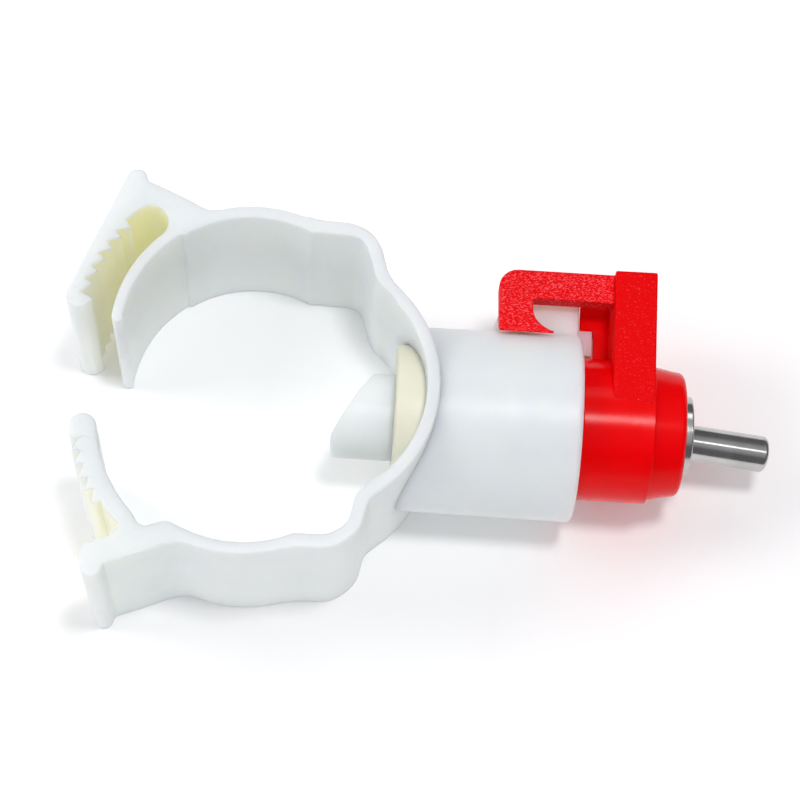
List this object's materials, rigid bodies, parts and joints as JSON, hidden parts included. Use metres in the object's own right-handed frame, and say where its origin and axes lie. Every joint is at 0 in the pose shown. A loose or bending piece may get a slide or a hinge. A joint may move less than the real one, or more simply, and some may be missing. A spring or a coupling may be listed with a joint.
{
  "type": "poultry nipple drinker",
  "caption": "Nipple drinker valve on a snap-round saddle clamp that taps a water pipe; a red bayonet body holds a steel pin that lets water out when pushed.",
  "frame": {"origin": "where the supply pipe's axis crosses the nipple's axis, halfway across the clamp band", "axes": "+Z along the pipe's axis, +X along the nipple's axis towards its trigger pin, +Y towards the latch"},
  "size_m": [0.0717, 0.0425, 0.02],
  "materials": {
    "clamp_plastic": "semi-gloss natural polypropylene",
    "gasket_rubber": "satin",
    "red_plastic": "gloss",
    "seal_rubber": "satin",
    "stainless_steel": "polished",
    "filter_plastic": "matt"
  },
  "bodies": {
    "clamp": {"clamp_saddle": "clamp_plastic", "pipe_gasket": "gasket_rubber"},
    "upper_arm": {"upper_clamp_arm": "clamp_plastic"},
    "lower_arm": {"lower_clamp_arm": "clamp_plastic"},
    "nipple": {"nipple_body": "red_plastic", "body_o_ring": "seal_rubber", "inlet_filter": "filter_plastic", "seat_sleeve": "stainless_steel", "sleeve_o_ring": "seal_rubber", "stem_guide": "filter_plastic", "stem_seat": "seal_rubber"},
    "stem": {"valve_stem": "stainless_steel"},
    "pin": {"trigger_pin": "stainless_steel"}
  },
  "joints": [
    {"name": "upper_arm_close", "type": "hinge", "parent": "clamp", "child": "upper_arm", "pos_m": [0.0069, 0.0127, 0], "axis": [0, 0, 1], "range_deg": [0, 25.5], "stiffness_Nm_per_rad": 0.3},
    {"name": "lower_arm_close", "type": "hinge", "parent": "clamp", "child": "lower_arm", "pos_m": [0.0069, -0.0127, 0], "axis": [0, 0, -1], "range_deg": [0, 25.5], "stiffness_Nm_per_rad": 0.3},
    {"name": "nipple_twist", "type": "hinge", "parent": "clamp", "child": "nipple", "pos_m": [0.02, 0, 0], "axis": [1, 0, 0], "range_deg": [0, 75]},
    {"name": "stem_lift", "type": "slide", "parent": "nipple", "child": "stem", "axis": [-1, 0, 0], "range_m": [0, 0.0008]},
    {"name": "pin_tilt", "type": "hinge", "parent": "nipple", "child": "pin", "pos_m": [0.032, 0, 0], "axis": [0, -1, 0], "range_deg": [0, 23]}
  ]
}
